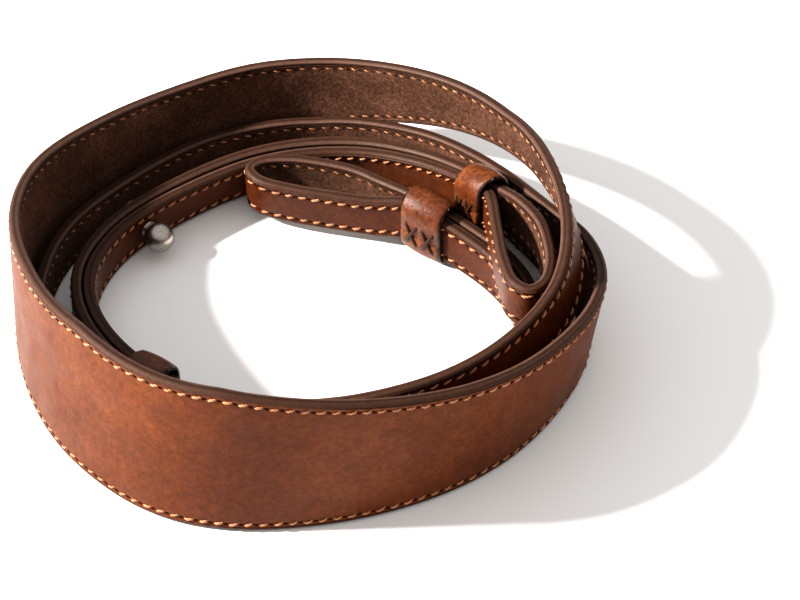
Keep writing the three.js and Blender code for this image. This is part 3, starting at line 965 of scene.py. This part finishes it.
def keeper_mesh(end, start):
    """Rings along the outside of a keeper and back along its inside, and their strip coordinates."""
    rim = [(place / KEEPER_LENGTH, drop) for place, drop in KEEPER_RIM]
    body = np.linspace(KEEPER_BODY_FROM, 1 - KEEPER_BODY_FROM, KEEPER_BODY_STEPS)
    order = rim + [(share, 0) for share in body] + [(1 - share, drop) for share, drop in reversed(rim)]
    rings = []
    places = []
    for inside in (False, True):
        for share, drop in (reversed(order) if inside else order):
            grow = KEEPER_INNER_RIM_SHARE * drop if inside else keeper_crown(share) - drop
            corner = KEEPER_INNER_CORNER if inside else KEEPER_CORNER
            section = keeper_section(grow, corner, 0.0 if inside else SEAM_DEPTH)
            centre, across, depth = (v[0] for v in keeper_frames(end, [start + share * KEEPER_LENGTH]))
            rings.append(centre + section[:, :1] * across + section[:, 1:] * depth)
            # Inset 0 makes the material give the whole inside the dark rim colour, as painted shade.
            inset = 0.0 if inside else KEEPER_WALL
            places.append(np.tile((share * KEEPER_LENGTH, inset), (len(section), 1)))
    return np.array(rings), np.vstack(places)


def thread_along(points, ways):
    """Rings of a round seam thread along points; ways point out of the surface it lies on."""
    ahead = unit(np.gradient(points, axis=0))
    out = unit(ways - ahead * np.sum(ways * ahead, axis=1, keepdims=True))
    aside = np.cross(out, ahead)
    angles = np.linspace(0, 2 * math.pi, SEAM_THREAD_SIDES, endpoint=False)[None, :, None]
    ring = np.cos(angles) * aside[:, None, :] + np.sin(angles) * out[:, None, :]
    return points[:, None, :] + SEAM_THREAD_HALF * ring


def seam_threads(end, start):
    """Cross stitches over the butt seam of a keeper."""
    lofts = []
    t = np.linspace(0, 1, SEAM_THREAD_RINGS)
    arch = np.sin(math.pi * t) ** SEAM_THREAD_ARCH_POWER
    for middle in SEAM_CROSSES:
        for way in (-1, 1):
            along = middle + way * SEAM_CROSS_HALF_LENGTH * (2 * t - 1)
            aside = SEAM_OFFSET + SEAM_CROSS_HALF_HEIGHT * (2 * t - 1)
            centre, across, depth = keeper_frames(end, start + along)
            surface = STACK_DEPTH / 2 + KEEPER_SIDE_GAP + keeper_crown(along / KEEPER_LENGTH)
            level = surface + SEAM_THREAD_RISE[way] * arch - SEAM_THREAD_SINK * (1 - arch)
            lofts.append(thread_along(centre + across * aside[:, None] + depth * level[:, None], depth))
    return lofts


seam_lofts = []
for end in "ab":
    for kind, start in (("loop", 0.0), ("tail", TAIL_KEEPER_PLACE - KEEPER_LENGTH / 2)):
        rings, places = keeper_mesh(end, start)
        vertices, faces = loft(rings, closed_run=True)
        if end == "b":
            faces = [face[::-1] for face in faces]
        sleeve = make_object(f"{kind}_sleeve_{end}", vertices, faces, keeper_leather, places)
        add_piece(sleeve, "keeper_leather", f"{kind}_keeper_{end}")
        seam_lofts += seam_threads(end, start)
vertices, faces = merge_lofts(seam_lofts)
add_piece(make_object("keeper_seams", vertices, faces, dark_thread), "keeper_leather")


# Ball studs


def stud_profile():
    """Radius and height up the stud's axis, from the back disc to the top of the ball."""
    back = -THICKNESS / 2 - STUD_GAP
    shoulder = FOLD_PITCH + THICKNESS / 2 + STUD_GAP
    ball = shoulder + NECK_LENGTH + math.sqrt(BALL_RADIUS ** 2 - NECK_RADIUS ** 2)
    points = [(0, back - BACK_THICKNESS), (BACK_FLAT_RADIUS, back - BACK_FLAT_THICKNESS)]
    for k in range(BACK_ROUND_STEPS + 1):
        angle = math.pi / 2 * k / BACK_ROUND_STEPS
        radius = BACK_RADIUS - BACK_ROUND + BACK_ROUND * math.sin(angle)
        points.append((radius, back - BACK_ROUND - BACK_ROUND * math.cos(angle)))
    points += [
        (BACK_RADIUS, back),
        (POST_RADIUS, back),
        (POST_RADIUS, shoulder - POST_CHAMFER),
        (POST_RADIUS - POST_CHAMFER, shoulder),
        (NECK_RADIUS + NECK_FLARE, shoulder),
        (NECK_RADIUS, shoulder + NECK_FLARE_HEIGHT),
    ]
    first = math.pi - math.asin(NECK_RADIUS / BALL_RADIUS)
    for k in range(BALL_STEPS + 1):
        angle = first * (1 - k / BALL_STEPS)
        points.append((BALL_RADIUS * math.sin(angle), ball + BALL_RADIUS * math.cos(angle)))
    points[-1] = (0, ball + BALL_RADIUS)
    return points


def stud_mesh(end):
    """Turned stud with its axis through the folded pair."""
    strap = from_fold(end, [STUD_PLACE])
    centre = strap.centre[0] - COIL_CENTRE
    axis = strap.suede[0]
    side = strap.across[0]
    other = np.cross(axis, side)
    profile = stud_profile()
    vertices = [centre + axis * profile[0][1]]
    for radius, height in profile[1:-1]:
        for k in range(STUD_SIDES):
            angle = 2 * math.pi * k / STUD_SIDES
            way = side * math.cos(angle) + other * math.sin(angle)
            vertices.append(centre + axis * height + radius * way)
    vertices.append(centre + axis * profile[-1][1])
    faces = []
    last = len(profile) - 3
    for k in range(STUD_SIDES):
        n = (k + 1) % STUD_SIDES
        faces.append((0, 1 + n, 1 + k))
        for i in range(last):
            low, high = 1 + i * STUD_SIDES, 1 + (i + 1) * STUD_SIDES
            faces.append((low + k, low + n, high + n, high + k))
        top = 1 + last * STUD_SIDES
        faces.append((top + k, top + n, len(vertices) - 1))
    return np.array(vertices), faces


for end in "ab":
    vertices, faces = stud_mesh(end)
    add_piece(make_object(f"stud_{end}", vertices, faces, metal), "stud_steel", f"ball_stud_{end}")


# Floor, light and camera


def make_floor():
    half = FLOOR_SIZE * MM / 2
    corners = [(-half, -half, 0), (half, -half, 0), (half, half, 0), (-half, half, 0)]
    mesh = bpy.data.meshes.new("floor")
    mesh.from_pydata(corners, [], [(0, 1, 2, 3)])
    floor = bpy.data.objects.new("floor", mesh)
    bpy.context.scene.collection.objects.link(floor)
    nodes = Nodes("floor")
    nodes.surface(Base_Color=FLOOR_COLOUR, Roughness=FLOOR_ROUGHNESS)
    mesh.materials.append(nodes.material)
    floor.location.z = -FLOOR_DROP * MM


def make_camera():
    data = bpy.data.cameras.new("camera")
    data.lens = LENS
    data.sensor_width = SENSOR
    camera = bpy.data.objects.new("camera", data)
    bpy.context.scene.collection.objects.link(camera)
    aim = Vector(-COIL_CENTRE * MM)
    angle = math.radians(CAMERA_ELEVATION)
    away = Vector((0, -math.cos(angle), math.sin(angle)))
    camera.location = aim + away * CAMERA_DISTANCE * MM
    camera.rotation_euler = (-away).to_track_quat("-Z", "Y").to_euler()
    bpy.context.scene.camera = camera


def make_key_light():
    """Area light aimed at the coil. Azimuth 0 is +X, 90 is +Y."""
    data = bpy.data.lights.new("key", "AREA")
    data.shape = "DISK"
    data.size = KEY_SIZE * MM
    data.energy = KEY_POWER
    data.color = KEY_COLOUR
    light = bpy.data.objects.new("key", data)
    bpy.context.scene.collection.objects.link(light)
    azimuth = math.radians(KEY_AZIMUTH)
    elevation = math.radians(KEY_ELEVATION)
    level = math.cos(elevation)
    way = Vector((level * math.cos(azimuth), level * math.sin(azimuth), math.sin(elevation)))
    light.location = way * KEY_DISTANCE * MM
    light.rotation_euler = (-way).to_track_quat("-Z", "Y").to_euler()


def make_world():
    world = bpy.data.worlds.new("world")
    bpy.context.scene.world = world
    world.use_nodes = True
    background = world.node_tree.nodes["Background"]
    background.inputs["Color"].default_value = WORLD_COLOUR
    background.inputs["Strength"].default_value = WORLD_STRENGTH


make_floor()
make_camera()
make_world()
make_key_light()
bpy.context.scene.view_settings.view_transform = "Standard"
bpy.context.scene.view_settings.look = "Medium High Contrast"
